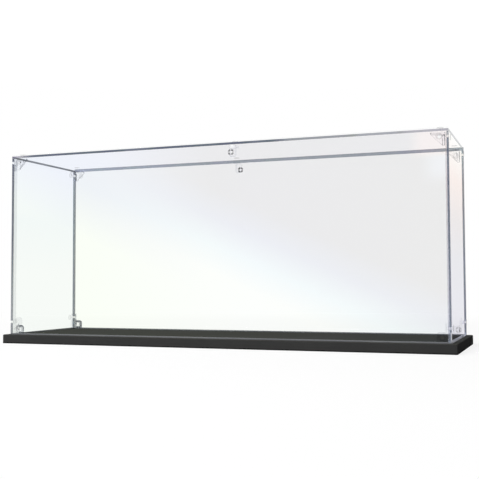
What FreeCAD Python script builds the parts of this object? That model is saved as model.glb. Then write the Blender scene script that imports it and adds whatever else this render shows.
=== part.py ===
import FreeCAD, Part
import os
import Sketcher
from FreeCAD import Placement, Rotation, Vector

# Clear display case: a cover of five clear sheets, held at its corners and edges by small clear
# connectors with push rivets, standing in a groove round the edge of a black base board.
# Millimetres, +Z up, +X along the length, the front towards -Y. The origin is the middle of the
# base board's underside. The cover is drawn closed.

SIZES = (
    ("case_length", 400.0, "cover, outside, left to right"),
    ("case_depth", 110.0, "cover, outside, front to back"),
    ("cover_rise", 167.0, "cover, from the base board's upper face to its own"),
    ("sheet_thickness", 3.0, "clear sheets"),
    ("seam_gap", 0.1, "gap left between neighbouring pieces of the cover, and under it"),
    ("base_thickness", 8.0, "base board"),
    ("base_margin", 5.0, "base board past the cover, all round"),
    ("base_edge_break", 0.6, "chamfer on the base board's upper and upright edges"),
    ("groove_depth", 2.0, "groove in the base board that the cover stands in"),
    ("groove_clearance", 0.3, "running clearance each side of a sheet in the groove"),
    ("plate_thickness", 2.0, "plates of the corner connectors and clips"),
    ("plate_corner_cut", 1.5, "cut across the free corners of the clips"),
    ("corner_reach", 7.0, "corner connector, rivet to the end of a leg"),
    ("top_clip_width", 6.5, "clips halfway along the top edges"),
    ("top_clip_reach", 4.5, "the same clips, other plate to rivet"),
    ("top_clip_end", 3.5, "the same clips, rivet to the end of a leg"),
    ("front_clip_offset", 20.0, "front top clip, to the right of the middle"),
    ("back_clip_offset", -13.0, "back top clip, to the right of the middle"),
    ("foot_clip_low", 8.0, "foot clips, height of the plate on the front or back sheet"),
    ("foot_clip_tall", 15.0, "foot clips, height of the plate on the side sheet"),
    ("foot_clip_end", 4.5, "foot clips, rivet to the end of a leg"),
    ("foot_clip_lift", 0.5, "foot clips, clearance over the base board"),
    ("rivet_shank", 3.0, "push rivets, diameter of the shank"),
    ("rivet_fit", 0.1, "clearance round the shank in its holes"),
    ("rivet_web", 0.4, "wall between a rivet hole and the neighbouring plate"),
    ("rivet_head", 5.4, "push rivets, diameter of the head"),
    ("rivet_head_height", 0.8, "push rivets, height of the head"),
    ("rivet_head_break", 0.3, "chamfer round the head"),
    ("rivet_bore", 1.8, "push rivets, diameter of the blind bore"),
)

doc = FreeCAD.newDocument("display_case")
dims = doc.addObject("Spreadsheet::Sheet", "dims")
for row, (alias, value, meaning) in enumerate(SIZES, 1):
    dims.set(f"A{row}", alias)
    dims.set(f"B{row}", str(value))
    dims.setAlias(f"B{row}", alias)
    dims.set(f"C{row}", meaning)
doc.recompute()

# Sizes that follow from the sheet, written as expressions on it. Heights inside the cover count
# from the base board's upper face.
HALF_LENGTH = "(dims.case_length / 2)"
HALF_DEPTH = "(dims.case_depth / 2)"
SHEET_AND_GAP = "(dims.sheet_thickness + dims.seam_gap)"
INNER_X = f"({HALF_LENGTH} - {SHEET_AND_GAP})"
INNER_Y = f"({HALF_DEPTH} - {SHEET_AND_GAP})"
INNER_Z = f"(dims.cover_rise - {SHEET_AND_GAP})"
WALL_FOOT = "(dims.seam_gap - dims.groove_depth)"
RIVET_HOLE = "(dims.rivet_shank + 2 * dims.rivet_fit)"
RIVET_INSET = f"(dims.plate_thickness + dims.rivet_web + {RIVET_HOLE} / 2)"
CORNER_LEG = f"({RIVET_INSET} + dims.corner_reach)"
TOP_CLIP_INSET = "(dims.plate_thickness + dims.top_clip_reach)"
TOP_CLIP_LEG = f"({TOP_CLIP_INSET} + dims.top_clip_end)"
FOOT_LEG = f"({RIVET_INSET} + dims.foot_clip_end)"
FOOT_LOW_RIVET = "(dims.foot_clip_low / 2)"
FOOT_TALL_RIVET = f"(dims.foot_clip_tall - {FOOT_LOW_RIVET})"
SHANK_LENGTH = f"({SHEET_AND_GAP} + dims.plate_thickness)"

# The four upright walls, as quarter turns of the front one about the upright axis
FRONT, RIGHT, BACK, LEFT = range(4)
QUARTER_TURN = 90.0


def minus(expression):
    """The same size the other way."""
    return f"(-{expression})"


def plus_minus(expression):
    """A size both ways, for pieces that lie evenly about the middle."""
    return (minus(expression), expression)


def turned(along, out, wall):
    """X and Y of a place on a wall, from the run along it and the distance out to it."""
    return ((along, minus(out)), (out, along), (minus(along), out), (minus(out), minus(along)))[wall]


def place(piece, x, y, z, rotation):
    """Turn a piece, then set it at a place that is worked out from the sheet."""
    piece.Placement = Placement(Vector(0, 0, 0), rotation)
    for axis, expression in zip("xyz", (x, y, z)):
        piece.setExpression(f"Placement.Base.{axis}", expression)


def about_upright(wall):
    """The turn that takes the front wall to another one."""
    return Rotation(Vector(0, 0, 1), QUARTER_TURN * wall)


def new_body(label):
    """An empty body under its own name."""
    body = doc.addObject("PartDesign::Body", label)
    body.Label = label
    return body


def new_sketch(body, plane_role, outlines, circles=()):
    """A sketch on one of a body's own planes: outlines through corners, and circles."""
    sketch = body.newObject("Sketcher::SketchObject", f"{body.Name}_sketch")
    plane = next(item for item in body.Origin.OriginFeatures if item.Role == plane_role)
    sketch.AttachmentSupport = [(plane, "")]
    sketch.MapMode = "FlatFace"
    for corners in outlines:
        draw_outline(sketch, corners)
    for x, y, diameter in circles:
        draw_circle(sketch, x, y, diameter)
    return sketch


def bind(sketch, kind, geometry, expression):
    """One dimension of a sketch, bound to the sheet. The geometry ends the constraint's own list."""
    value = float(dims.evalExpression(expression))
    number = sketch.addConstraint(Sketcher.Constraint(kind, *geometry, value))
    sketch.setExpression(f"Constraints[{number}]", expression)


def draw_outline(sketch, corners):
    """A closed outline of straight edges through corners given as pairs of expressions."""
    points = [Vector(*(float(dims.evalExpression(size)) for size in corner), 0) for corner in corners]
    edges = []
    for number, point in enumerate(points):
        following = points[(number + 1) % len(points)]
        edges.append(sketch.addGeometry(Part.LineSegment(point, following), False))
    for number, (x, y) in enumerate(corners):
        sketch.addConstraint(Sketcher.Constraint("Coincident", edges[number - 1], 2, edges[number], 1))
        bind(sketch, "DistanceX", (-1, 1, edges[number], 1), x)
        bind(sketch, "DistanceY", (-1, 1, edges[number], 1), y)


def draw_circle(sketch, x, y, diameter):
    """A circle about a place given as a pair of expressions."""
    radius = float(dims.evalExpression(diameter)) / 2
    centre = Vector(float(dims.evalExpression(x)), float(dims.evalExpression(y)), 0)
    circle = sketch.addGeometry(Part.Circle(centre, Vector(0, 0, 1), radius), False)
    bind(sketch, "DistanceX", (-1, 1, circle, 3), x)
    bind(sketch, "DistanceY", (-1, 1, circle, 3), y)
    bind(sketch, "Diameter", (circle,), diameter)


def rectangle(left, bottom, right, top):
    """The corners of an upright rectangle."""
    return ((left, bottom), (right, bottom), (right, top), (left, top))


def add_pad(body, sketch, thickness, reverse):
    """Material of one thickness from a sketch."""
    pad = body.newObject("PartDesign::Pad", f"{body.Name}_pad")
    pad.Profile = sketch
    pad.setExpression("Length", thickness)
    pad.Reversed = reverse
    return pad


def make_base_board():
    """The black board: a chamfered slab with a groove round it for the feet of the walls."""
    body = new_body("base_board")
    half_x = f"({HALF_LENGTH} + dims.base_margin)"
    half_y = f"({HALF_DEPTH} + dims.base_margin)"
    slab_sketch = new_sketch(body, "XY_Plane", [rectangle(minus(half_x), minus(half_y), half_x, half_y)])
    slab = add_pad(body, slab_sketch, "dims.base_thickness", True)
    doc.recompute()

    underside = slab.Shape.BoundBox.ZMin
    edges = enumerate(slab.Shape.Edges, 1)
    shown = [f"Edge{number}" for number, edge in edges if edge.BoundBox.ZMax > underside / 2]
    chamfer = body.newObject("PartDesign::Chamfer", "base_board_chamfer")
    chamfer.Base = (slab, shown)
    chamfer.setExpression("Size", "dims.base_edge_break")

    rings = []
    for offset in ("dims.groove_clearance", "(-dims.sheet_thickness - dims.groove_clearance)"):
        x = f"({HALF_LENGTH} + {offset})"
        y = f"({HALF_DEPTH} + {offset})"
        rings.append(rectangle(minus(x), minus(y), x, y))
    groove = body.newObject("PartDesign::Pocket", "base_board_groove")
    groove.Profile = new_sketch(body, "XY_Plane", rings)
    groove.setExpression("Length", "dims.groove_depth")
    doc.recompute()
    if groove.Shape.Volume >= chamfer.Shape.Volume:
        raise RuntimeError("the groove cuts nothing from the base board")
    place(body, "0", "0", "dims.base_thickness", Rotation())
    return body


def make_wall(label, wall, half_width, out, holes):
    """One upright sheet with its rivet holes, drawn as the front wall and turned into place."""
    body = new_body(label)
    sheet_outline = rectangle(minus(half_width), WALL_FOOT, half_width, INNER_Z)
    circles = [(x, z, RIVET_HOLE) for x, z in holes]
    sketch = new_sketch(body, "XZ_Plane", [sheet_outline], circles)
    add_pad(body, sketch, "dims.sheet_thickness", True)
    x, y = turned("0", out, wall)
    place(body, x, y, "dims.base_thickness", about_upright(wall))
    return body


def make_top_panel(holes):
    """The sheet that lies over the four walls."""
    body = new_body("top_panel")
    sheet_outline = rectangle(minus(HALF_LENGTH), minus(HALF_DEPTH), HALF_LENGTH, HALF_DEPTH)
    circles = [(x, y, RIVET_HOLE) for x, y in holes]
    sketch = new_sketch(body, "XY_Plane", [sheet_outline], circles)
    add_pad(body, sketch, "dims.sheet_thickness", True)
    place(body, "0", "0", "(dims.base_thickness + dims.cover_rise)", Rotation())
    return body


def add_plate(body, plane_role, corners, hole, reverse):
    """One plate of a connector, with its rivet hole. Its outer face lies on the plane."""
    sketch = new_sketch(body, plane_role, [corners], [(*hole, RIVET_HOLE)])
    return add_pad(body, sketch, "dims.plate_thickness", reverse)


def make_corner_connector(label, corner_x, corner_y, wall):
    """Three plates with slanted edges that meet in an upper corner of the cover, seen from inside."""
    body = new_body(label)
    thin = "dims.plate_thickness"

    def slanted(sign):
        """Corners of a plate whose second run goes up or down."""
        runs = (("0", "0"), (CORNER_LEG, "0"), (CORNER_LEG, thin), (thin, CORNER_LEG), ("0", CORNER_LEG))
        return [(first, f"({sign} * {second})") for first, second in runs]

    add_plate(body, "XY_Plane", slanted(1), (RIVET_INSET, RIVET_INSET), True)
    add_plate(body, "XZ_Plane", slanted(-1), (RIVET_INSET, minus(RIVET_INSET)), True)
    add_plate(body, "YZ_Plane", slanted(-1), (RIVET_INSET, minus(RIVET_INSET)), False)
    place(body, corner_x, corner_y, f"(dims.base_thickness + {INNER_Z})", about_upright(wall))
    return body


def make_top_clip(label, offset, wall):
    """An L of two narrow plates that ties the top sheet to a long wall halfway along."""
    body = new_body(label)
    half = "(dims.top_clip_width / 2)"
    cut = "dims.plate_corner_cut"
    narrow = f"({half} - {cut})"
    short = f"({TOP_CLIP_LEG} - {cut})"

    def tongue(sign):
        """Corners of a plate that runs back or down from the edge, its free corners cut."""
        runs = (
            (minus(half), "0"), (half, "0"), (half, short), (narrow, TOP_CLIP_LEG),
            (minus(narrow), TOP_CLIP_LEG), (minus(half), short),
        )
        return [(across, f"({sign} * {run})") for across, run in runs]

    add_plate(body, "XY_Plane", tongue(1), ("0", TOP_CLIP_INSET), True)
    add_plate(body, "XZ_Plane", tongue(-1), ("0", minus(TOP_CLIP_INSET)), True)
    along = offset if wall == FRONT else minus(offset)
    x, y = turned(along, INNER_Y, wall)
    place(body, x, y, f"(dims.base_thickness + {INNER_Z})", about_upright(wall))
    return body


def make_foot_clip(label, corner_x, corner_y, wall, hand):
    """An L of a low plate on a long wall and a tall one on a side wall, in a lower corner. The hand
    is 1 where the long wall runs to the right of the corner, seen from outside, and otherwise -1."""
    body = new_body(label)
    cut = "dims.plate_corner_cut"

    def upright_plate(height, sign):
        """Corners of a plate that stands on its lower edge, its free upper corner cut."""
        runs = (
            ("0", "0"), (FOOT_LEG, "0"), (FOOT_LEG, f"({height} - {cut})"),
            (f"({FOOT_LEG} - {cut})", height), ("0", height),
        )
        return [(f"({sign} * {run})", rise) for run, rise in runs]

    low = upright_plate("dims.foot_clip_low", hand)
    tall = upright_plate("dims.foot_clip_tall", 1)
    add_plate(body, "XZ_Plane", low, (f"({hand} * {RIVET_INSET})", FOOT_LOW_RIVET), True)
    add_plate(body, "YZ_Plane", tall, (RIVET_INSET, FOOT_TALL_RIVET), hand < 0)
    place(body, corner_x, corner_y, "(dims.base_thickness + dims.foot_clip_lift)", about_upright(wall))
    return body


def make_rivet():
    """One push rivet, its shank down its own axis and its head just off the sheet at height zero."""
    body = new_body("rivet")
    head = "(dims.rivet_head / 2)"
    shank = "(dims.rivet_shank / 2)"
    bore = "(dims.rivet_bore / 2)"
    head_top = "(dims.seam_gap + dims.rivet_head_height)"
    outline = (
        ("0", minus(SHANK_LENGTH)), (shank, minus(SHANK_LENGTH)), (shank, "dims.seam_gap"),
        (head, "dims.seam_gap"), (head, f"({head_top} - dims.rivet_head_break)"),
        (f"({head} - dims.rivet_head_break)", head_top), (bore, head_top),
        (bore, minus("dims.sheet_thickness")), ("0", minus("dims.sheet_thickness")),
    )
    sketch = new_sketch(body, "XZ_Plane", [outline])
    turning = body.newObject("PartDesign::Revolution", "rivet_turning")
    turning.Profile = sketch
    turning.ReferenceAxis = (sketch, ["V_Axis"])
    return body


def make_rivets(label, rivet, places, outward):
    """A group of equal rivets through one sheet, their heads on its outer side."""
    links = []
    for x, y, z in places:
        link = doc.addObject("App::Link", f"{label}_{len(links) + 1}")
        link.LinkedObject = rivet
        place(link, x, y, z, Rotation(Vector(0, 0, 1), outward))
        links.append(link)
    group = doc.addObject("Part::Compound", label)
    group.Label = label
    group.Links = links
    return group


def make_walls_and_rivets(rivet):
    """The four upright sheets and the rivets through them."""
    upper = f"({INNER_Z} - {RIVET_INSET})"
    clip_height = f"({INNER_Z} - {TOP_CLIP_INSET})"
    ends = plus_minus(f"({INNER_X} - {RIVET_INSET})")
    sides = plus_minus(f"({INNER_Y} - {RIVET_INSET})")
    low = f"(dims.foot_clip_lift + {FOOT_LOW_RIVET})"
    tall = f"(dims.foot_clip_lift + {FOOT_TALL_RIVET})"
    holes_by_wall = {
        FRONT: [(x, z) for x in ends for z in (low, upper)] + [("dims.front_clip_offset", clip_height)],
        RIGHT: [(x, z) for x in sides for z in (tall, upper)],
        BACK: [(x, z) for x in ends for z in (low, upper)] + [("(-dims.back_clip_offset)", clip_height)],
        LEFT: [(x, z) for x in sides for z in (tall, upper)],
    }
    names = {FRONT: "front", RIGHT: "right", BACK: "back", LEFT: "left"}
    pieces = []
    for wall, holes in holes_by_wall.items():
        long_wall = wall in (FRONT, BACK)
        half_width = HALF_LENGTH if long_wall else INNER_Y
        out = HALF_DEPTH if long_wall else HALF_LENGTH
        pieces.append(make_wall(f"{names[wall]}_panel", wall, half_width, out, holes))
        places = [(*turned(along, out, wall), f"(dims.base_thickness + {rise})") for along, rise in holes]
        outward = about_upright(wall).multVec(Vector(0, -1, 0))
        pieces.append(make_rivets(f"{names[wall]}_rivets", rivet, places, outward))
    return pieces


def make_top_and_rivets(rivet):
    """The top sheet and the rivets through it."""
    clip_line = f"({INNER_Y} - {TOP_CLIP_INSET})"
    holes = [
        (x, y)
        for x in plus_minus(f"({INNER_X} - {RIVET_INSET})")
        for y in plus_minus(f"({INNER_Y} - {RIVET_INSET})")
    ]
    holes += [("dims.front_clip_offset", minus(clip_line)), ("dims.back_clip_offset", clip_line)]
    places = [(x, y, "(dims.base_thickness + dims.cover_rise)") for x, y in holes]
    return [make_top_panel(holes), make_rivets("top_rivets", rivet, places, Vector(0, 0, 1))]


def make_connectors():
    """The clear mouldings inside the cover: four upper corners, two top clips, four foot clips."""
    left, right = plus_minus(INNER_X)
    front, back = plus_minus(INNER_Y)
    return [
        make_corner_connector("corner_front_left", left, front, FRONT),
        make_corner_connector("corner_front_right", right, front, RIGHT),
        make_corner_connector("corner_back_right", right, back, BACK),
        make_corner_connector("corner_back_left", left, back, LEFT),
        make_top_clip("top_clip_front", "dims.front_clip_offset", FRONT),
        make_top_clip("top_clip_back", "dims.back_clip_offset", BACK),
        make_foot_clip("foot_clip_front_left", left, front, FRONT, 1),
        make_foot_clip("foot_clip_front_right", right, front, FRONT, -1),
        make_foot_clip("foot_clip_back_right", right, back, BACK, 1),
        make_foot_clip("foot_clip_back_left", left, back, BACK, -1),
    ]


def check(pieces):
    """Stop where any object failed to build or a piece has no sound shape."""
    for item in doc.Objects:
        if "Invalid" in item.State or "Error" in item.State:
            raise RuntimeError(f"{item.Label} did not build: {item.State}")
    for piece in pieces:
        if piece.Shape.isNull() or not piece.Shape.isValid():
            raise RuntimeError(f"{piece.Label} has no sound shape")


rivet_pattern = make_rivet()
pieces = [make_base_board()]
pieces += make_walls_and_rivets(rivet_pattern)
pieces += make_top_and_rivets(rivet_pattern)
pieces += make_connectors()
doc.recompute()
check(pieces)

os.makedirs("parts", exist_ok=True)
for piece in pieces:
    piece.Shape.exportStep(f"parts/{piece.Label}.step")
    print(f"{piece.Label}: {len(piece.Shape.Solids)} solid(s), {piece.Shape.Volume:.1f} mm3")
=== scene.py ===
"""A clear display case: a lift-off cover of pinned acrylic sheets standing in a black base board."""

import logging
import math
from dataclasses import dataclass, field
from enum import Enum

import bmesh
import bpy
from mathutils import Matrix, Vector


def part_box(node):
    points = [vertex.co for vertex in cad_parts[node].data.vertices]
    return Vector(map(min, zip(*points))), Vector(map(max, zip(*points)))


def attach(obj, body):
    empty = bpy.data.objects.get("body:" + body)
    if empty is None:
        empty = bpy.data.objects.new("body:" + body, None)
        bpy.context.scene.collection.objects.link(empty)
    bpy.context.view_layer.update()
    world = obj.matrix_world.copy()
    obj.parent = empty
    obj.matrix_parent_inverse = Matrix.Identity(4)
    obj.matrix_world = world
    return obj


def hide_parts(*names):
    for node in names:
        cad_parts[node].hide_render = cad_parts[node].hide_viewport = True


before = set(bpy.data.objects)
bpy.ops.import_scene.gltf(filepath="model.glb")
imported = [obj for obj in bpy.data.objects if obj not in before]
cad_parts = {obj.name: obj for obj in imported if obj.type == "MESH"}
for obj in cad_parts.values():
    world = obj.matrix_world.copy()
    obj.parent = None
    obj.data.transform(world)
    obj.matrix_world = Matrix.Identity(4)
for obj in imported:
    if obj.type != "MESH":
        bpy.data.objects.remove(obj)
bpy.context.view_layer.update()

LOG = logging.getLogger("display_case")
MM = 0.001
PICTURE_SIDE = 479
ROUNDING_MARK = "rounding"
RING_MARK = "ring"
STRENGTH_MARK = "ring_strength"
# Points of a mesh that lie closer than this are one point, and faces within this angle are one flat face.
MERGE_MM = 0.002
FLAT_DEG = 1.0
# Edges that are sharper and longer than this are rounded. Faces that are this narrow, apart from specks, are sides.
CORNER_DEG = 30.0
SHORT_MM = 1.0
NARROW_MM = 1.6
SPECK_MM2 = 2.0


def linear(hex_colour: str, alpha: float = 1.0) -> tuple[float, float, float, float]:
    """Turns an sRGB hex colour into the linear values that sockets take.

    Args:
        hex_colour: Six hex digits with a leading hash sign.
        alpha: Fourth value of the result.

    Returns:
        Red, green, blue and alpha.
    """
    parts = [int(hex_colour[i : i + 2], 16) / 255 for i in (1, 3, 5)]
    red, green, blue = (p / 12.92 if p <= 0.04045 else ((p + 0.055) / 1.055) ** 2.4 for p in parts)
    return red, green, blue, alpha


def add_node(
    tree: bpy.types.NodeTree, kind: str, inputs: dict | None = None, **settings: object
) -> bpy.types.Node:
    """Adds one node, sets it up and feeds its inputs.

    Args:
        tree: Node tree that gets the node.
        kind: Blender's class name of the node.
        inputs: For each socket's name or number, a value or another node's output.
        **settings: Properties of the node itself.

    Returns:
        The new node.
    """
    node = tree.nodes.new(kind)
    for name, value in settings.items():
        setattr(node, name, value)
    for key, value in (inputs or {}).items():
        if isinstance(value, bpy.types.NodeSocket):
            tree.links.new(value, node.inputs[key])
        else:
            node.inputs[key].default_value = value
    return node


def empty_material(name: str) -> bpy.types.Material:
    """Gives a new material with an empty node tree.

    Args:
        name: Name of the material.

    Returns:
        The material.
    """
    material = bpy.data.materials.new(name)
    material.use_nodes = True
    material.node_tree.nodes.clear()
    return material


def colour_steps(ramp: bpy.types.ColorRamp, hexes: tuple[str, ...], low: float, high: float) -> None:
    """Spreads colours evenly over a part of a colour ramp.

    Args:
        ramp: Ramp that gets the colours.
        hexes: Two or more sRGB colours.
        low: Place of the first colour.
        high: Place of the last colour.
    """
    last = len(hexes) - 1
    while len(ramp.elements) <= last:
        ramp.elements.new(1.0)
    for number, hex_colour in enumerate(hexes):
        ramp.elements[number].position = low + (high - low) * number / last
        ramp.elements[number].color = linear(hex_colour)


class Wall(Enum):
    """The sheets of the cover, with the outward direction of each."""

    FRONT = (0, -1, 0)
    BACK = (0, 1, 0)
    LEFT = (-1, 0, 0)
    RIGHT = (1, 0, 0)
    TOP = (0, 0, 1)

    @property
    def word(self) -> str:
        """The sheet's name in lower case."""
        return self.name.lower()

    @property
    def out(self) -> Vector:
        """The outward direction."""
        return Vector(self.value)


@dataclass(frozen=True)
class SatinBoard:
    """Black PVC board, sawn, with a satin face: charcoal sides, and a lighter top with a fine grain and no gloss."""

    name: str = "satin_black_board"
    charcoal: tuple[str, ...] = ("#383938", "#3a3a3a", "#3d3d3c")
    satin: tuple[str, ...] = ("#484844", "#494946", "#4b4b4a")
    top_mm: float = 8.0
    # The real grain is about 0.3 mm. It is drawn four times as coarse, so that it shows in the render.
    grain_mm: float = 1.2
    cloud_mm: float = 60.0
    grain_share: float = 0.4
    spread: tuple[float, float] = (0.3, 0.7)
    roughness: tuple[float, float] = (0.62, 0.78)
    grain_depth: float = 0.015
    grain_rise_mm: float = 0.3
    ior: float = 1.53
    # Painted shade: the broken lower edge, in the board's own shadow, is darkened to nearly black.
    # The ends are darkened as painted shade too.
    edge_mm: float = 0.6
    edge_share: float = 0.25
    end_mm: float = 205.0
    end_share: float = 0.7

    def material(self) -> bpy.types.Material:
        """Builds the board's material.

        Returns:
            The material.
        """
        material = empty_material(self.name)
        tree = material.node_tree
        place = add_node(tree, "ShaderNodeTexCoord").outputs["Object"]
        grain = add_node(tree, "ShaderNodeTexNoise", {
            "Vector": place, "Scale": 1 / (self.grain_mm * MM), "Detail": 3.0, "Roughness": 0.6})
        clouds = add_node(tree, "ShaderNodeTexNoise", {
            "Vector": place, "Scale": 1 / (self.cloud_mm * MM), "Detail": 2.0})
        mixed = add_node(tree, "ShaderNodeMix", {
            0: self.grain_share, 2: clouds.outputs["Fac"], 3: grain.outputs["Fac"]}, data_type="FLOAT")
        sides, face = (add_node(tree, "ShaderNodeValToRGB", {"Fac": mixed.outputs[0]}) for _ in range(2))
        colour_steps(sides.color_ramp, self.charcoal, *self.spread)
        colour_steps(face.color_ramp, self.satin, *self.spread)
        axes = add_node(tree, "ShaderNodeSeparateXYZ", {0: place}).outputs
        upper = add_node(tree, "ShaderNodeMapRange", {
            "Value": axes[2], "From Min": (self.top_mm - self.edge_mm) * MM, "From Max": self.top_mm * MM})
        colour = add_node(tree, "ShaderNodeMix", {
            0: upper.outputs["Result"], 6: sides.outputs["Color"], 7: face.outputs["Color"]}, data_type="RGBA")
        # Painted shade on the lower edge and on the ends, multiplied into the colour.
        under = add_node(tree, "ShaderNodeMapRange", {
            "Value": axes[2], "From Min": self.edge_mm * MM, "From Max": 2 * self.edge_mm * MM,
            "To Min": self.edge_share, "To Max": 1.0}, interpolation_type="SMOOTHSTEP").outputs["Result"]
        out = add_node(tree, "ShaderNodeMath", {0: axes[0]}, operation="ABSOLUTE").outputs[0]
        ends = add_node(tree, "ShaderNodeMapRange", {
            "Value": out, "From Min": (self.end_mm - self.edge_mm) * MM, "From Max": self.end_mm * MM,
            "To Min": 1.0, "To Max": self.end_share}).outputs["Result"]
        share = add_node(tree, "ShaderNodeMath", {0: under, 1: ends}, operation="MULTIPLY").outputs[0]
        toned = add_node(tree, "ShaderNodeVectorMath", {0: colour.outputs[2], 3: share}, operation="SCALE")
        rough = add_node(tree, "ShaderNodeMapRange", {
            "Value": grain.outputs["Fac"], "From Min": self.spread[0], "From Max": self.spread[1],
            "To Min": self.roughness[0], "To Max": self.roughness[1]})
        bump = add_node(tree, "ShaderNodeBump", {
            "Height": grain.outputs["Fac"], "Strength": self.grain_depth, "Distance": self.grain_rise_mm * MM})
        shader = add_node(tree, "ShaderNodeBsdfPrincipled", {
            "Base Color": toned.outputs["Vector"], "Roughness": rough.outputs["Result"],
            "Normal": bump.outputs["Normal"], "IOR": self.ior, "Specular IOR Level": 0.0})
        add_node(tree, "ShaderNodeOutputMaterial", {"Surface": shader.outputs["BSDF"]})
        return material


@dataclass(frozen=True)
class Span:
    """A stretch along one axis of the case with soft ends, on both sides of the middle if it is mirrored."""

    axis: int
    low_mm: float
    high_mm: float
    mirrored: bool = False
    soft_mm: float = 0.15


class EdgeShade(Enum):
    """The hues of the painted light and shade along a sheet's edges, from dark to pale."""

    INK = ("#3c4a60", "#464e68", "#445462", "#5a6276")
    SLATE = ("#4b5868", "#5a5f72", "#55605f", "#767c8a")
    PLUM = ("#545f7a", "#52647a", "#646a86")
    DUSK = ("#5c5674", "#6a6482")
    STONE = ("#84868a", "#7c7e84")
    MIST = ("#868e9e", "#84929b", "#888fa2")
    PALE = ("#c4c6d0", "#cfd0d6")
    FROST = ("#eceef2", "#f8f8fa")
    WHITE = ("#ffffff", "#ffffff")


@dataclass(frozen=True)
class EdgeBand:
    """A band of painted light and shade along a sheet's edge, with its hues and how solid it looks."""

    spans: tuple[Span, ...]
    shade: EdgeShade
    solid: float


@dataclass(frozen=True)
class TintPatch:
    """A soft patch of a sheet's painted sheen, with a hue of its own."""

    spans: tuple[Span, ...]
    hue: str


@dataclass(frozen=True)
class Sheen:
    """A painted sheen across a sheet: its hues along a stretch, those of its left end if they differ, and its patches.
    """

    hues: tuple[str, ...]
    rise: tuple[float, float, float]
    low_mm: float
    high_mm: float
    left_hues: tuple[str, ...] = ()
    left_mm: tuple[float, float] = (-110.0, 0.0)
    patches: tuple[TintPatch, ...] = ()


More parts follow.
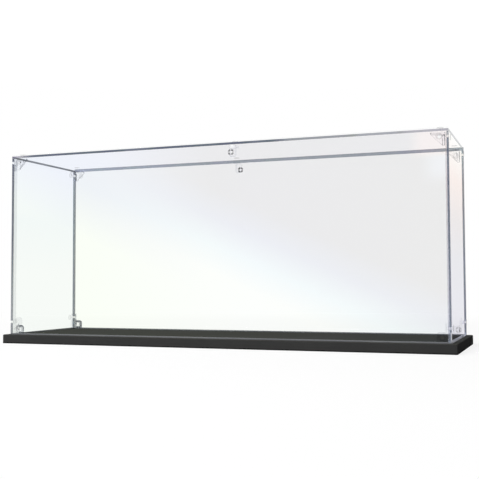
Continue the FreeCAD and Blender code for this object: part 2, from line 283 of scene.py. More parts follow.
@dataclass(frozen=True)
class AcrylicSheet:
    """Clear cast acrylic, polished and nearly invisible, with a painted sheen and painted light and shade along its
    edges.
    """

    name: str
    sheen: Sheen
    bands: tuple[EdgeBand, ...]
    shade_length_mm: float = 45.0
    spread: tuple[float, float] = (0.38, 0.62)
    ior: float = 1.49
    roughness: float = 0.03

    def _inside(self, tree: bpy.types.NodeTree, axes: bpy.types.NodeOutputs, span: Span) -> bpy.types.NodeSocket:
        """Marks a span.

        Args:
            tree: Node tree of the material.
            axes: The place on the three axes, in metres.
            span: The span to mark.

        Returns:
            An output that is 1 in the span and 0 outside it.
        """
        place = axes[span.axis]
        if span.mirrored:
            place = add_node(tree, "ShaderNodeMath", {0: place}, operation="ABSOLUTE").outputs[0]
        middle, half = (span.low_mm + span.high_mm) / 2, (span.high_mm - span.low_mm) / 2
        off = add_node(tree, "ShaderNodeMath", {0: place, 1: middle * MM}, operation="SUBTRACT").outputs[0]
        away = add_node(tree, "ShaderNodeMath", {0: off}, operation="ABSOLUTE").outputs[0]
        inside = add_node(tree, "ShaderNodeMapRange", {
            "Value": away, "From Min": (half - span.soft_mm) * MM, "From Max": (half + span.soft_mm) * MM,
            "To Min": 1.0, "To Max": 0.0}, interpolation_type="SMOOTHSTEP")
        return inside.outputs["Result"]

    def _mask(
        self, tree: bpy.types.NodeTree, axes: bpy.types.NodeOutputs, spans: tuple[Span, ...]
    ) -> bpy.types.NodeSocket:
        """Marks the place where some spans cross.

        Args:
            tree: Node tree of the material.
            axes: The place on the three axes, in metres.
            spans: One or more spans.

        Returns:
            An output that is 1 inside all of the spans.
        """
        mask = self._inside(tree, axes, spans[0])
        for span in spans[1:]:
            mask = add_node(tree, "ShaderNodeMath", {
                0: mask, 1: self._inside(tree, axes, span)}, operation="MULTIPLY").outputs[0]
        return mask

    def _tint(
        self, tree: bpy.types.NodeTree, place: bpy.types.NodeSocket, axes: bpy.types.NodeOutputs
    ) -> bpy.types.NodeSocket:
        """Builds the sheet's painted sheen, a faint tint.

        Args:
            tree: Node tree of the material.
            place: The place in the case, in metres.
            axes: The same place on the three axes.

        Returns:
            An output with the painted sheen's colour.
        """
        sheen = self.sheen
        rise = add_node(tree, "ShaderNodeVectorMath", {0: place, 1: sheen.rise}, operation="DOT_PRODUCT")
        level = add_node(tree, "ShaderNodeMapRange", {
            "Value": rise.outputs["Value"], "From Min": sheen.low_mm * MM, "From Max": sheen.high_mm * MM})
        tint, left = (add_node(tree, "ShaderNodeValToRGB", {"Fac": level.outputs["Result"]}) for _ in range(2))
        colour_steps(tint.color_ramp, sheen.hues, 0.0, 1.0)
        colour_steps(left.color_ramp, sheen.left_hues or sheen.hues, 0.0, 1.0)
        side = add_node(tree, "ShaderNodeMapRange", {
            "Value": axes[0], "From Min": sheen.left_mm[0] * MM, "From Max": sheen.left_mm[1] * MM})
        shown = add_node(tree, "ShaderNodeMix", {
            0: side.outputs["Result"], 6: left.outputs["Color"], 7: tint.outputs["Color"]}, data_type="RGBA").outputs[2]
        for patch in sheen.patches:
            shown = add_node(tree, "ShaderNodeMix", {
                0: self._mask(tree, axes, patch.spans), 6: shown, 7: linear(patch.hue)}, data_type="RGBA").outputs[2]
        return shown

    def material(self) -> bpy.types.Material:
        """Builds the sheet's material.

        Returns:
            The material.
        """
        material = empty_material(self.name)
        tree = material.node_tree
        place = add_node(tree, "ShaderNodeTexCoord").outputs["Object"]
        axes = add_node(tree, "ShaderNodeSeparateXYZ", {0: place}).outputs
        # The painted sheen tints what shows through the sheet.
        through = add_node(tree, "ShaderNodeBsdfTransparent", {"Color": self._tint(tree, place, axes)})
        shown: bpy.types.NodeSocket | tuple[float, ...] = linear("#ffffff")
        solid: bpy.types.NodeSocket | float = 0.0
        drift = add_node(tree, "ShaderNodeTexNoise", {"Vector": place, "Scale": 1 / (self.shade_length_mm * MM)})
        # Painted light and shade: each band lays its hues over the sheet's edge and makes it more solid.
        for band in self.bands:
            mask = self._mask(tree, axes, band.spans)
            ramp = add_node(tree, "ShaderNodeValToRGB", {"Fac": drift.outputs["Fac"]})
            colour_steps(ramp.color_ramp, band.shade.value, *self.spread)
            shown = add_node(tree, "ShaderNodeMix", {0: mask, 6: shown, 7: ramp.outputs["Color"]},
                             data_type="RGBA").outputs[2]
            solid = add_node(tree, "ShaderNodeMix", {0: mask, 2: solid, 3: band.solid}, data_type="FLOAT").outputs[0]
        shader = add_node(tree, "ShaderNodeBsdfPrincipled", {
            "Base Color": shown, "Roughness": self.roughness, "IOR": self.ior})
        mixed = add_node(tree, "ShaderNodeMixShader", {0: solid, 1: through.outputs["BSDF"], 2: shader.outputs["BSDF"]})
        add_node(tree, "ShaderNodeOutputMaterial", {"Surface": mixed.outputs["Shader"]})
        return material


@dataclass(frozen=True)
class MouldedPlastic:
    """Clear moulded plastic: faces that hardly show, and grey lines of painted shade on the parts that carry a mark.

    With a frame, the painted lines only show around the plates there, outside its open middle.
    """

    name: str
    mark: str
    face: str
    lines: tuple[str, ...]
    patch_mm: float
    frame_mm: tuple[float, float] | None = None
    open_mm: float = 4.0
    open_soft_mm: float = 0.4
    spread: tuple[float, float] = (0.4, 0.62)
    lamp_tint: str = "#f8f8f9"
    # The plastic's own is 1.5 to 1.6, but the photo shows no bending in pieces this small.
    ior: float = 1.0
    roughness: float = 0.04

    def material(self) -> bpy.types.Material:
        """Builds the plastic's material, which lets lamps shine through so that the case casts no dark shadow.

        Returns:
            The material.
        """
        material = empty_material(self.name)
        tree = material.node_tree
        place = add_node(tree, "ShaderNodeTexCoord").outputs["Object"]
        patches = add_node(tree, "ShaderNodeTexNoise", {"Vector": place, "Scale": 1 / (self.patch_mm * MM)})
        shade = add_node(tree, "ShaderNodeValToRGB", {"Fac": patches.outputs["Fac"]})
        colour_steps(shade.color_ramp, self.lines, *self.spread)
        mark = add_node(tree, "ShaderNodeAttribute", attribute_name=self.mark).outputs["Fac"]
        if self.frame_mm:
            middle = (self.frame_mm[0] * MM, 0.0, self.frame_mm[1] * MM)
            side = add_node(tree, "ShaderNodeVectorMath", {0: place}, operation="ABSOLUTE").outputs[0]
            off = add_node(tree, "ShaderNodeVectorMath", {0: side, 1: middle}, operation="SUBTRACT").outputs[0]
            away = add_node(tree, "ShaderNodeVectorMath", {0: off}, operation="ABSOLUTE").outputs[0]
            axes = add_node(tree, "ShaderNodeSeparateXYZ", {0: away}).outputs
            far = add_node(tree, "ShaderNodeMath", {0: axes[0], 1: axes[2]}, operation="MAXIMUM").outputs[0]
            half = self.open_mm / 2
            around = add_node(tree, "ShaderNodeMapRange", {
                "Value": far, "From Min": (half - self.open_soft_mm) * MM, "From Max": (half + self.open_soft_mm) * MM})
            mark = add_node(tree, "ShaderNodeMath", {
                0: mark, 1: around.outputs["Result"]}, operation="MULTIPLY").outputs[0]
        # Painted shade: marked parts take the grey hues, which darken what shows through them.
        colour = add_node(tree, "ShaderNodeMix", {
            0: mark, 6: linear(self.face), 7: shade.outputs["Color"]}, data_type="RGBA")
        shader = add_node(tree, "ShaderNodeBsdfPrincipled", {
            "Base Color": colour.outputs[2], "Transmission Weight": 1.0, "Roughness": self.roughness, "IOR": self.ior})
        clear = add_node(tree, "ShaderNodeBsdfTransparent", {"Color": linear(self.lamp_tint)})
        lamp_ray = add_node(tree, "ShaderNodeLightPath").outputs["Is Shadow Ray"]
        mixed = add_node(tree, "ShaderNodeMixShader", {
            0: lamp_ray, 1: shader.outputs["BSDF"], 2: clear.outputs["BSDF"]})
        add_node(tree, "ShaderNodeOutputMaterial", {"Surface": mixed.outputs["Shader"]})
        return material


def polished_copy(node: str, name: str, rounding_mm: float, side_mark: float = 0.0) -> bpy.types.Object:
    """Copies a CAD node into a new piece, with its corners rounded off, and the roundings and narrow sides marked.

    Args:
        node: Name of the CAD node.
        name: Name of the new piece.
        rounding_mm: Width of the rounding.
        side_mark: Mark of the narrow sides. That of the roundings is 1.

    Returns:
        The new piece, at the origin.
    """
    work = bmesh.new()
    work.from_mesh(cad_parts[node].data)
    mark = work.faces.layers.float.new(ROUNDING_MARK)
    bmesh.ops.remove_doubles(work, verts=work.verts, dist=MERGE_MM * MM)
    bmesh.ops.dissolve_limit(work, angle_limit=math.radians(FLAT_DEG), verts=work.verts, edges=work.edges)
    # The rims of the small holes stay sharp, because their short edges would keep the roundings thin.
    corners = [e for e in work.edges if len(e.link_faces) == 2 and e.calc_length() > SHORT_MM * MM
               and e.calc_face_angle() > math.radians(CORNER_DEG)]
    rounded = bmesh.ops.bevel(work, geom=corners, offset=rounding_mm * MM, segments=2, profile=0.5,
                              affect="EDGES", clamp_overlap=True)
    for face in work.faces:
        area = face.calc_area() / MM**2
        if area > SPECK_MM2 and area / max(e.calc_length() / MM for e in face.edges) < NARROW_MM:
            face[mark] = side_mark
    for face in rounded["faces"]:
        face[mark] = 1.0
    mesh = bpy.data.meshes.new(name)
    work.to_mesh(mesh)
    work.free()
    piece = bpy.data.objects.new(name, mesh)
    bpy.context.collection.objects.link(piece)
    return piece


def dress(piece: bpy.types.Object, material: bpy.types.Material) -> None:
    """Gives a piece one material all over.

    Args:
        piece: The piece or CAD node.
        material: Its finish.
    """
    piece.data.materials.clear()
    piece.data.materials.append(material)


@dataclass
class BaseBoard:
    """The black board that the cover stands in."""

    node: str = "base_board"
    finish: SatinBoard = field(default_factory=SatinBoard)

    def build(self) -> None:
        """Dresses the board's CAD node."""
        dress(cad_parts[self.node], self.finish.material())
        LOG.info("dressed %s", self.node)


@dataclass
class ClearCover:
    """The five clear sheets of the cover."""

    half_length_mm: float = 200.0
    half_depth_mm: float = 55.0
    wall_top_mm: float = 171.9
    base_top_mm: float = 8.0
    # Heights of the end sheets' rivets, beside which the painted dark lines of the upright edges break with painted
    # light.
    break_mm: tuple[float, float] = (19.5, 167.9)
    body: str = "cover"
    slot: str = "clear_sheet"
    rounding_mm: float = 0.2

    def sheens(self) -> dict[Wall, Sheen]:
        """Lists the painted sheen of each sheet.

        Returns:
            The painted sheen for each wall.
        """
        along, up, slanted = (1, 0, 0), (0, 0, 1), (0.45, 0, 1)
        # Painted sheen: the cool corner and the pink patch stand in for light in the front sheet's upper right corner.
        cool_corner = TintPatch((Span(0, 184.0, 220.0, soft_mm=9.0), Span(2, 136.0, 190.0, soft_mm=9.0)), "#f8f9fb")
        blush = TintPatch((Span(0, 174.0, 220.0, soft_mm=8.0), Span(2, 154.0, 190.0, soft_mm=3.0)), "#fbf8f8")
        # Painted glint: an untinted spot in front of the top clip's bend.
        clip_bend = TintPatch((Span(0, 18.4, 21.8, soft_mm=0.5), Span(2, 169.3, 180.0, soft_mm=0.5)), "#ffffff")
        return {
            Wall.FRONT: Sheen(
                ("#fefffe", "#fefffe", "#fafdfe", "#f6f7fa", "#f5f5f6"), slanted, 40.5, 136.5,
                ("#fdfffd", "#f7f9fd", "#f8f9fd"), patches=(cool_corner, blush, clip_bend)),
            Wall.BACK: Sheen(("#fffffd", "#ffffff", "#fffffe"), along, -180.0, 180.0),
            Wall.LEFT: Sheen(("#fdfdfd", "#fbfcfd", "#ffffff"), up, 65.0, 165.0),
            Wall.RIGHT: Sheen(("#f4f4f8", "#f4f4f7", "#f6f4f5", "#fcf7f6", "#fffffe"), up, 40.0, 172.0),
            Wall.TOP: Sheen(("#fffffe", "#ffffff"), up, 0.0, 175.0),
        }

    def bands(self) -> dict[Wall, tuple[EdgeBand, ...]]:
        """Lists the painted light and shade along the edges of each sheet, band by band. A later band lies over an
        earlier one.

        Returns:
            The bands for each wall.
        """
        high, low, end, deep = self.wall_top_mm, self.base_top_mm, self.half_length_mm, self.half_depth_mm
        left_end, right_end = Span(0, -end - 1, -end + 0.3), Span(0, end - 1.5, end + 1)
        lower = Span(2, -100.0, 70.0, soft_mm=30.0)
        front_face = Span(1, -deep - 1, -deep + 0.3)
        seam = Span(2, high - 1, high + 2)
        # Painted highlight along each sheet's foot, and painted light where the upright edges break beside the rivets.
        foot = EdgeBand((Span(2, 0.0, low + 0.9),), EdgeShade.STONE, 0.75)
        breaks = tuple(EdgeBand((Span(0, end - 2, end + 1, True), Span(2, z - 1, z + 1)), EdgeShade.WHITE, 0.2)
                       for z in self.break_mm)
        # Painted shade: the plum, slate, ink, dusk and mist lines. Painted light: the pale, stone, frost and white
        # ones.
        return {
            Wall.FRONT: (
                EdgeBand((left_end,), EdgeShade.PLUM, 0.9),
                EdgeBand((left_end, lower), EdgeShade.PLUM, 0.74),
                EdgeBand((right_end,), EdgeShade.PLUM, 0.62),
                EdgeBand((right_end, lower), EdgeShade.PLUM, 0.52),
                EdgeBand((right_end, Span(2, high - 4, high + 4)), EdgeShade.MIST, 0.45),
                EdgeBand((Span(0, end - 0.7, end + 1), Span(2, 0.0, low + 8.5)), EdgeShade.PALE, 0.85),
                *breaks,
                foot,
            ),
            Wall.BACK: (
                EdgeBand((Span(0, end - 1.6, end + 1, True),), EdgeShade.MIST, 0.75),
                EdgeBand((Span(0, end - 1.6, end + 1),), EdgeShade.MIST, 0.66),
                *breaks,
                foot,
            ),
            Wall.LEFT: (
                EdgeBand((Span(1, -53.0, -51.0),), EdgeShade.MIST, 0.2),
                EdgeBand((Span(1, -52.7, -51.9), Span(2, 160.0, 166.5)), EdgeShade.SLATE, 0.8),
                foot,
            ),
            Wall.RIGHT: (
                EdgeBand((Span(1, -53.0, -51.6),), EdgeShade.PALE, 0.3),
                EdgeBand((Span(2, 0.0, low + 0.6),), EdgeShade.FROST, 0.8),
            ),
            Wall.TOP: (
                EdgeBand((Span(1, deep - 0.3, deep + 1), Span(2, high, high + 4)), EdgeShade.MIST, 0.82),
                EdgeBand((front_face, Span(2, high + 2.5, high + 4)), EdgeShade.MIST, 0.1),
                EdgeBand((Span(0, end - 0.3, end + 1), seam), EdgeShade.MIST, 0.6),
                EdgeBand((left_end, seam), EdgeShade.SLATE, 0.85),
                EdgeBand((front_face, seam), EdgeShade.DUSK, 0.62),
                EdgeBand((front_face, seam, Span(0, -186.0, 165.0, soft_mm=10.0)), EdgeShade.SLATE, 0.76),
                EdgeBand((front_face, seam, Span(0, -184.0, 64.0, soft_mm=10.0)), EdgeShade.INK, 0.95),
            ),
        }

    def build(self) -> None:
        """Builds and dresses the sheets."""
        sheens, bands = self.sheens(), self.bands()
        for wall in Wall:
            node = f"{wall.word}_panel"
            finish = AcrylicSheet(f"clear_acrylic_{wall.word}", sheens[wall], bands[wall])
            piece = polished_copy(node, f"{wall.word}_sheet", self.rounding_mm)
            dress(piece, finish.material())
            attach(piece, self.body)
            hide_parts(node)
            LOG.info("built %s", piece.name)


class Connector(Enum):
    """The kinds of connector, with the CAD nodes of each kind."""

    CORNER = ("corner_front_left", "corner_front_right", "corner_back_left", "corner_back_right")
    TOP_CLIP = ("top_clip_front", "top_clip_back")
    FOOT_CLIP = ("foot_clip_front_left", "foot_clip_front_right", "foot_clip_back_left", "foot_clip_back_right")


@dataclass
class Connectors:
    """The clear mouldings in the corners and halfway along the top."""

    body: str = "cover"
    slot: str = "clear_moulding"
    rounding_mm: float = 0.45
    foot_rounding_mm: float = 0.9
    face: str = "#fbfbfc"
    corner_patch_mm: float = 2.2
    clip_patch_mm: float = 4.0
    side_mark: float = 0.35
    # A corner connector's upright edges show the most painted shade.
    # The normals of its other faces lean up or down more than this.
    upright_lean: float = 0.15
    slant_share: float = 0.2
    # The middle of a foot clip's plate on the front or back sheet. The plate on the end sheet starts further out and
    # its painted shade hardly shows, and that of the right-hand clips shows less.
    foot_plate_mm: tuple[float, float] = (192.4, 12.4)
    end_plate_mm: float = 194.9
    end_plate_share: float = 0.12
    right_share: float = 0.15

    def finishes(self) -> dict[Connector, MouldedPlastic]:
        """Lists the finish of each kind of connector.

        All are clear polycarbonate, injection moulded. Painted shade stands in for the light that the rounded edges
        bend: thin grey lines, dark and broken on the corner connectors, softer on the foot clips, hardly showing on the
        top clips.

        Returns:
            The finish for each kind.
        """
        return {
            Connector.CORNER: MouldedPlastic(
                "clear_polycarbonate_corner", ROUNDING_MARK, self.face,
                ("#0a0c10", "#4e5058", "#c8cace"), self.corner_patch_mm),
            Connector.TOP_CLIP: MouldedPlastic(
                "clear_polycarbonate_top_clip", ROUNDING_MARK, self.face,
                ("#dcdee2", "#e6e8ec", "#f2f3f5"), self.clip_patch_mm),
            Connector.FOOT_CLIP: MouldedPlastic(
                "clear_polycarbonate_foot_clip", ROUNDING_MARK, self.face,
                ("#66686e", "#8e9096", "#b6b8bc"), self.clip_patch_mm, self.foot_plate_mm),
        }

    def tone(self, piece: bpy.types.Object, kind: Connector) -> None:
        """Sets how strongly the parts of a connector show their painted lines of shade.

        Args:
            piece: The connector.
            kind: What kind it is.
        """
        marks = piece.data.attributes[ROUNDING_MARK].data
        for face in piece.data.polygons:
            mark = marks[face.index]
            if kind is Connector.CORNER and abs(face.normal.z) > self.upright_lean:
                mark.value *= self.slant_share
            elif kind is Connector.FOOT_CLIP:
                mark.value = self.end_plate_share if abs(face.center.x) > self.end_plate_mm * MM else 1.0
                mark.value *= self.right_share if face.center.x > 0 else 1.0

    def build(self) -> None:
        """Builds and dresses the connectors."""
        for kind, finish in self.finishes().items():
            material = finish.material()
            for node in kind.value:
                rounding = self.foot_rounding_mm if kind is Connector.FOOT_CLIP else self.rounding_mm
                piece = polished_copy(node, f"{node}_moulding", rounding, self.side_mark)
                self.tone(piece, kind)
                dress(piece, material)
                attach(piece, self.body)
                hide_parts(node)
                LOG.info("built %s", piece.name)


@dataclass
class PushRivets:
    """The push rivets that pin the connectors to the sheets."""

    body: str = "cover"
    slot: str = "clear_rivet"
    head_mm: float = 5.4
    head_height_mm: float = 0.8
    head_break_mm: float = 0.3
    dish_mm: float = 2.6
    dish_depth_mm: float = 0.25
    shank_mm: float = 3.0
    shank_break_mm: float = 0.2
    bore_mm: float = 1.8
    bore_depth_mm: float = 3.0
    sides: int = 32
    corner_x_mm: float = 192.9
    corner_y_mm: float = 47.9
    upper_mm: float = 167.9
    low_mm: float = 12.5
    tall_mm: float = 19.5
    clip_mm: float = 165.4
    clip_y_mm: float = 45.4
    front_clip_x_mm: float = 20.0
    back_clip_x_mm: float = -13.0
    # How strongly each kind of rivet shows its painted ring of shade. The back clip's is seen from inside, so it is
    # made stronger. Those in the upper corners and on end hardly show, and their heads have a flat pale painted shade
    # instead.
    clear_ring: float = 1.0
    strong_ring: float = 1.6
    soft_ring: float = 0.5
    faint_ring: float = 0.08
    flat_mark: float = 0.22
    # The mark of a head's middle is just enough to tell it from the shank, and each painted ring has four gaps.
    middle_mark: float = 0.02
    gap_share: float = 0.2
    # Clear nylon, injection moulded, with painted shade: a broken grey ring on the rim of each head, around a bright
    # middle.
    finish: MouldedPlastic = MouldedPlastic(
        "clear_moulded_nylon", RING_MARK, "#ffffff", ("#121214", "#1c1c20", "#303034"), 2.4)

    def places(self, wall: Wall) -> list[Vector]:
        """Lists where a sheet's rivets sit, in millimetres, apart from how far they stand out.

        Args:
            wall: The sheet.

        Returns:
            One point for each rivet.
        """
        if wall is Wall.TOP:
            spots = [Vector((x, y, 0)) for x in (-self.corner_x_mm, self.corner_x_mm)
                     for y in (-self.corner_y_mm, self.corner_y_mm)]
            return spots + [Vector((self.front_clip_x_mm, -self.clip_y_mm, 0)),
                            Vector((self.back_clip_x_mm, self.clip_y_mm, 0))]
        if wall in (Wall.LEFT, Wall.RIGHT):
            return [Vector((0, y, z)) for y in (-self.corner_y_mm, self.corner_y_mm)
                    for z in (self.tall_mm, self.upper_mm)]
        clip_x = self.front_clip_x_mm if wall is Wall.FRONT else self.back_clip_x_mm
        spots = [Vector((x, 0, z)) for x in (-self.corner_x_mm, self.corner_x_mm)
                 for z in (self.low_mm, self.upper_mm)]
        return spots + [Vector((clip_x, 0, self.clip_mm))]

    def ring_strength(self, wall: Wall, spot: Vector) -> float:
        """Tells how strongly a rivet shows its painted ring of shade.

        Args:
            wall: The sheet that it goes through.
            spot: Where it sits, in metres.

        Returns:
            The strength: 0 for the flat shade alone, 1 for the plain ring, and more for a darker one.
        """
        if wall not in (Wall.FRONT, Wall.BACK) or spot.z > (self.clip_mm + 1) * MM:
            return self.faint_ring
        if spot.z > (self.clip_mm - 1) * MM:
            return self.clear_ring if wall is Wall.FRONT else self.strong_ring
        return self.soft_ring if wall is Wall.BACK and spot.x > 0 else self.faint_ring

    def profile(self, length_mm: float) -> list[tuple[float, float, float]]:
        """Lists the corners of a rivet's half section, from the head's middle to the bore's end.

        Args:
            length_mm: Length from the head's face to the shank's end.

        Returns:
            Radius, height and ring mark for each corner, in millimetres, with the head's face at 0.
        """
        head, shank, bore, dish = (d / 2 for d in (self.head_mm, self.shank_mm, self.bore_mm, self.dish_mm))
        rim, end = -self.head_height_mm, -length_mm
        return [
            (0.0, -self.dish_depth_mm, self.middle_mark),
            (dish - self.dish_depth_mm, -self.dish_depth_mm, self.middle_mark),
            (dish, 0.0, 1.0),
            (head - self.head_break_mm, 0.0, 1.0),
            (head, -self.head_break_mm, 0.9),
            (head, rim, 0.0),
            (shank, rim, 0.0),
            (shank, end + self.shank_break_mm, 0.0),
            (shank - self.shank_break_mm, end, 0.0),
            (bore, end, 0.0),
            (bore, end + self.bore_depth_mm, 0.0),
            (0.0, end + self.bore_depth_mm, 0.0),
        ]

    def tree(self, corners: int) -> bpy.types.NodeTree:
        """Builds the nodes that turn a half section into rivets on points.

        Args:
            corners: How many corners the half section has.

        Returns:
            The node tree, with an input for each size.
        """
        tree = bpy.data.node_groups.new("push_rivets", "GeometryNodeTree")
        face = tree.interface
        face.new_socket("Geometry", in_out="INPUT", socket_type="NodeSocketGeometry")
        face.new_socket("Geometry", in_out="OUTPUT", socket_type="NodeSocketGeometry")
        face.new_socket("Sides", in_out="INPUT", socket_type="NodeSocketInt")
        face.new_socket("Outward turn", in_out="INPUT", socket_type="NodeSocketRotation")
        face.new_socket("Finish", in_out="INPUT", socket_type="NodeSocketMaterial")
        for number in range(corners):
            face.new_socket(f"Corner {number}", in_out="INPUT", socket_type="NodeSocketVector")
        given = add_node(tree, "NodeGroupInput").outputs
        around = add_node(tree, "ShaderNodeMath", {0: given["Sides"], 1: 1.0}, operation="ADD").outputs[0]
        grid = add_node(tree, "GeometryNodeMeshGrid", {"Vertices X": corners, "Vertices Y": around})
        index = add_node(tree, "GeometryNodeInputIndex").outputs[0]
        row = add_node(tree, "ShaderNodeMath", {0: index, 1: around}, operation="DIVIDE").outputs[0]
        row = add_node(tree, "ShaderNodeMath", {0: row}, operation="FLOOR").outputs[0]
        column = add_node(tree, "ShaderNodeMath", {0: index, 1: around}, operation="MODULO").outputs[0]
        turn = add_node(tree, "ShaderNodeMath", {0: column, 1: given["Sides"]}, operation="DIVIDE").outputs[0]
        turn = add_node(tree, "ShaderNodeMath", {0: turn, 1: math.tau}, operation="MULTIPLY").outputs[0]
        chosen = add_node(tree, "GeometryNodeIndexSwitch", data_type="VECTOR")
        while len(chosen.index_switch_items) < corners:
            chosen.index_switch_items.new()
        tree.links.new(row, chosen.inputs["Index"])
        for number in range(corners):
            tree.links.new(given[f"Corner {number}"], chosen.inputs[number + 1])
        section = add_node(tree, "ShaderNodeSeparateXYZ", {0: chosen.outputs[0]}).outputs
        cosine = add_node(tree, "ShaderNodeMath", {0: turn}, operation="COSINE").outputs[0]
        sine = add_node(tree, "ShaderNodeMath", {0: turn}, operation="SINE").outputs[0]
        spun = add_node(tree, "ShaderNodeCombineXYZ", {
            0: add_node(tree, "ShaderNodeMath", {0: section[0], 1: cosine}, operation="MULTIPLY").outputs[0],
            1: add_node(tree, "ShaderNodeMath", {0: section[0], 1: sine}, operation="MULTIPLY").outputs[0],
            2: section[1]})
        # Painted shade: the ring mark is broken into four gaps around the head.
        double = add_node(tree, "ShaderNodeMath", {0: turn, 1: 2.0}, operation="MULTIPLY").outputs[0]
        wave = add_node(tree, "ShaderNodeMath", {0: double}, operation="SINE").outputs[0]
        wave = add_node(tree, "ShaderNodeMath", {0: wave}, operation="ABSOLUTE").outputs[0]
        broken = add_node(tree, "ShaderNodeMapRange", {
            "Value": wave, "To Min": self.gap_share, "To Max": 1.0}).outputs["Result"]
        ring = add_node(tree, "ShaderNodeMath", {0: section[2], 1: broken}, operation="MULTIPLY").outputs[0]
        marked = add_node(tree, "GeometryNodeStoreNamedAttribute", {
            "Geometry": grid.outputs["Mesh"], "Name": RING_MARK, "Value": ring}, data_type="FLOAT", domain="POINT")
        shaped = add_node(tree, "GeometryNodeSetPosition", {
            "Geometry": marked.outputs["Geometry"], "Position": spun.outputs[0]})
        closed = add_node(tree, "GeometryNodeMergeByDistance", {
            "Geometry": shaped.outputs["Geometry"], "Distance": MERGE_MM * MM})
        placed = add_node(tree, "GeometryNodeInstanceOnPoints", {
            "Points": given["Geometry"], "Instance": closed.outputs["Geometry"], "Rotation": given["Outward turn"]})
        real = add_node(tree, "GeometryNodeRealizeInstances", {"Geometry": placed.outputs["Instances"]})
        mark, strength = (add_node(
            tree, "GeometryNodeInputNamedAttribute", {"Name": name}, data_type="FLOAT").outputs["Attribute"]
            for name in (RING_MARK, STRENGTH_MARK))
        head = add_node(tree, "ShaderNodeMath", {0: mark, 1: 1 / self.middle_mark}, operation="MULTIPLY").outputs[0]
        flat = add_node(tree, "ShaderNodeMath", {0: head, 1: self.flat_mark}, operation="MINIMUM").outputs[0]
        shown = add_node(tree, "ShaderNodeMix", {0: strength, 2: flat, 3: mark}, data_type="FLOAT",
                         clamp_factor=False).outputs[0]
        toned = add_node(tree, "GeometryNodeStoreNamedAttribute", {
            "Geometry": real.outputs["Geometry"], "Name": RING_MARK, "Value": shown}, data_type="FLOAT", domain="POINT")
        finished = add_node(tree, "GeometryNodeSetMaterial", {
            "Geometry": toned.outputs["Geometry"], "Material": given["Finish"]})
        add_node(tree, "NodeGroupOutput", {"Geometry": finished.outputs["Geometry"]})
        return tree

    def build(self) -> None:
        """Builds one piece of rivets for each sheet."""
        material = self.finish.material()
        tree = self.tree(len(self.profile(1.0)))
        sockets = {s.name: s.identifier for s in tree.interface.items_tree if s.in_out == "INPUT"}
        for wall in Wall:
            node = f"{wall.word}_rivets"
            low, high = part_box(node)
            axis = max(range(3), key=lambda a: abs(wall.out[a]))
            faces = (low[axis], high[axis])
            face = max(faces, key=lambda v: v * wall.out[axis])
            section = self.profile(abs(faces[1] - faces[0]) / MM)
            spots = [spot * MM for spot in self.places(wall)]
            for spot in spots:
                spot[axis] = face
            mesh = bpy.data.meshes.new(f"{wall.word}_push_rivets")
            mesh.from_pydata(spots, [], [])
            strength = mesh.attributes.new(STRENGTH_MARK, "FLOAT", "POINT")
            for spot, value in zip(spots, strength.data):
                value.value = self.ring_strength(wall, spot)
            piece = bpy.data.objects.new(mesh.name, mesh)
            bpy.context.collection.objects.link(piece)
            maker = piece.modifiers.new("rivets", "NODES")
            maker.node_group = tree
            maker[sockets["Sides"]] = self.sides
            maker[sockets["Outward turn"]] = Vector((0, 0, 1)).rotation_difference(wall.out).to_euler()
            maker[sockets["Finish"]] = material
            for number, (radius, height, mark) in enumerate(section):
                maker[sockets[f"Corner {number}"]] = (radius * MM, height * MM, mark)
            bpy.context.view_layer.update()
            made = bpy.data.meshes.new_from_object(piece.evaluated_get(bpy.context.evaluated_depsgraph_get()))
            piece.modifiers.clear()
            piece.data = made
            made.name = piece.name
            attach(piece, self.body)
            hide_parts(node)
            LOG.info("built %s: %d rivets, %d faces", piece.name, len(spots), len(made.polygons))


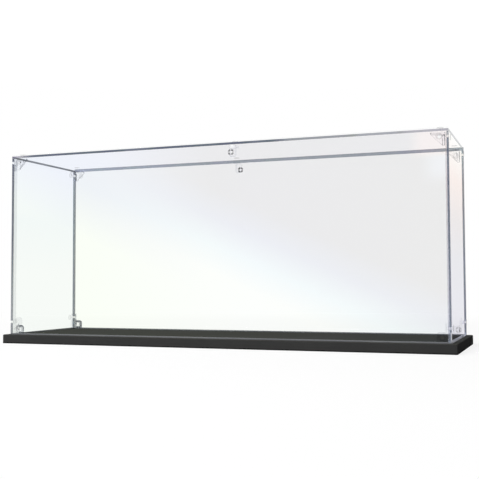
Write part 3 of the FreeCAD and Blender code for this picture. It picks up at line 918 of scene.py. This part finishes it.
@dataclass
class Studio:
    """The floor, the light and the camera."""

    camera_mm: tuple[float, float, float] = (279.8, -724.0, 55.9)
    yaw_deg: float = 20.67
    pitch_deg: float = 2.83
    roll_deg: float = -0.214
    focal_px: float = 853.7
    sensor_mm: float = 36.0
    floor_m: float = 12.0
    floor_drop_mm: float = 0.1
    floor_glow: float = 0.81
    paper: str = "#e0e0e0"
    shadow_paper: str = "#7c7c7c"
    # Where the floor turns from paper with a shadow to plain white.
    white_floor_m: tuple[float, float] = (0.25, 0.8)
    surround: float = 0.5
    # Above the case the surround is a little over white, so that the picture's upper edge stays white as well.
    upper_white: float = 1.1
    upper_rise: tuple[float, float] = (0.22, 0.28)
    glossy_share: float = 0.5
    lamp_m: tuple[float, float, float] = (-0.7, -1.1, 1.1)
    lamp_aim_m: tuple[float, float, float] = (0.0, 0.0, 0.08)
    lamp_watts: float = 18.0
    lamp_side_m: float = 0.9

    def build_world(self) -> None:
        """Builds the pale surround: white to the eye and through glass, softer as a light."""
        world = bpy.data.worlds.new("pale_surround")
        bpy.context.scene.world = world
        world.use_nodes = True
        tree = world.node_tree
        tree.nodes.clear()
        fill = add_node(tree, "ShaderNodeBackground", {"Color": linear("#ffffff"), "Strength": self.surround})
        place = add_node(tree, "ShaderNodeTexCoord").outputs["Generated"]
        height = add_node(tree, "ShaderNodeSeparateXYZ", {0: place}).outputs[2]
        level = add_node(tree, "ShaderNodeMapRange", {
            "Value": height, "From Min": self.upper_rise[0], "From Max": self.upper_rise[1],
            "To Min": 1.0, "To Max": self.upper_white})
        white = add_node(tree, "ShaderNodeBackground", {
            "Color": linear("#ffffff"), "Strength": level.outputs["Result"]})
        mixed = add_node(tree, "ShaderNodeMixShader", {
            0: self.seen(tree), 1: fill.outputs[0], 2: white.outputs[0]})
        add_node(tree, "ShaderNodeOutputWorld", {"Surface": mixed.outputs["Shader"]})

    def seen(self, tree: bpy.types.NodeTree) -> bpy.types.NodeSocket:
        """Tells rays that show the surround from rays that only light the object.

        Args:
            tree: Node tree of the world or the floor.

        Returns:
            An output that is 1 for what the eye sees straight or through glass.
        """
        path = add_node(tree, "ShaderNodeLightPath").outputs
        glossy = add_node(tree, "ShaderNodeMath", {
            0: path["Is Glossy Ray"], 1: self.glossy_share}, operation="MULTIPLY").outputs[0]
        straight = add_node(tree, "ShaderNodeMath", {
            0: path["Is Camera Ray"], 1: path["Is Transmission Ray"]}, operation="ADD").outputs[0]
        either = add_node(tree, "ShaderNodeMath", {0: straight, 1: glossy}, operation="ADD", use_clamp=True).outputs[0]
        direct = add_node(tree, "ShaderNodeMath", {0: path["Diffuse Depth"], 1: 0.5}, operation="LESS_THAN").outputs[0]
        return add_node(tree, "ShaderNodeMath", {0: either, 1: direct}, operation="MULTIPLY").outputs[0]

    def build_floor(self) -> None:
        """Builds the pale floor, which keeps the object's shadow."""
        half = self.floor_m / 2
        drop = -self.floor_drop_mm * MM
        mesh = bpy.data.meshes.new("floor")
        mesh.from_pydata([(-half, -half, drop), (half, -half, drop), (half, half, drop), (-half, half, drop)],
                         [], [(0, 1, 2, 3)])
        floor = bpy.data.objects.new("floor", mesh)
        bpy.context.collection.objects.link(floor)
        material = empty_material("pale_paper_floor")
        tree = material.node_tree
        paper = add_node(tree, "ShaderNodeBsdfDiffuse", {"Color": linear(self.paper)})
        shaded = add_node(tree, "ShaderNodeBsdfDiffuse", {"Color": linear(self.shadow_paper)})
        glow = add_node(tree, "ShaderNodeEmission", {"Color": linear("#ffffff"), "Strength": self.floor_glow})
        near = add_node(tree, "ShaderNodeAddShader", {0: shaded.outputs[0], 1: glow.outputs[0]})
        white = add_node(tree, "ShaderNodeEmission", {"Color": linear("#ffffff"), "Strength": 1.0})
        place = add_node(tree, "ShaderNodeTexCoord").outputs["Object"]
        away = add_node(tree, "ShaderNodeVectorMath", {0: place}, operation="LENGTH").outputs["Value"]
        far = add_node(tree, "ShaderNodeMapRange", {
            "Value": away, "From Min": self.white_floor_m[0], "From Max": self.white_floor_m[1]},
            interpolation_type="SMOOTHSTEP")
        shown = add_node(tree, "ShaderNodeMixShader", {
            0: far.outputs["Result"], 1: near.outputs[0], 2: white.outputs[0]})
        mixed = add_node(tree, "ShaderNodeMixShader", {0: self.seen(tree), 1: paper.outputs[0], 2: shown.outputs[0]})
        add_node(tree, "ShaderNodeOutputMaterial", {"Surface": mixed.outputs["Shader"]})
        mesh.materials.append(material)

    def build_lamp(self) -> None:
        """Adds the square soft lamp, which points at the case."""
        data = bpy.data.lights.new("key_lamp", "AREA")
        data.energy, data.size = self.lamp_watts, self.lamp_side_m
        lamp = bpy.data.objects.new("key_lamp", data)
        aim = Vector(self.lamp_aim_m) - Vector(self.lamp_m)
        lamp.matrix_world = Matrix.Translation(self.lamp_m) @ aim.to_track_quat("-Z", "Y").to_matrix().to_4x4()
        bpy.context.collection.objects.link(lamp)

    def build_camera(self) -> None:
        """Places the camera as in the photograph."""
        yaw, pitch, roll = (math.radians(a) for a in (self.yaw_deg, self.pitch_deg, self.roll_deg))
        ahead = Vector((-math.sin(yaw) * math.cos(pitch), math.cos(yaw) * math.cos(pitch), math.sin(pitch)))
        right = ahead.cross(Vector((0, 0, 1))).normalized()
        up = right.cross(ahead)
        right, up = right * math.cos(roll) + up * math.sin(roll), up * math.cos(roll) - right * math.sin(roll)
        data = bpy.data.cameras.new("camera")
        data.sensor_width = self.sensor_mm
        data.lens = self.focal_px / PICTURE_SIDE * self.sensor_mm
        camera = bpy.data.objects.new("camera", data)
        turn = Matrix((right, up, -ahead)).transposed().to_4x4()
        camera.matrix_world = Matrix.Translation(Vector(self.camera_mm) * MM) @ turn
        bpy.context.collection.objects.link(camera)
        bpy.context.scene.camera = camera

    def build(self) -> None:
        """Builds the whole studio."""
        bpy.context.scene.view_settings.view_transform = "Standard"
        self.build_world()
        self.build_floor()
        self.build_lamp()
        self.build_camera()
        LOG.info("built the studio")


def main() -> None:
    """Builds the case piece by piece, then the studio."""
    logging.basicConfig(level=logging.INFO, format="%(message)s")
    for part in (BaseBoard(), ClearCover(), Connectors(), PushRivets(), Studio()):
        part.build()


if __name__ == "__main__":
    main()
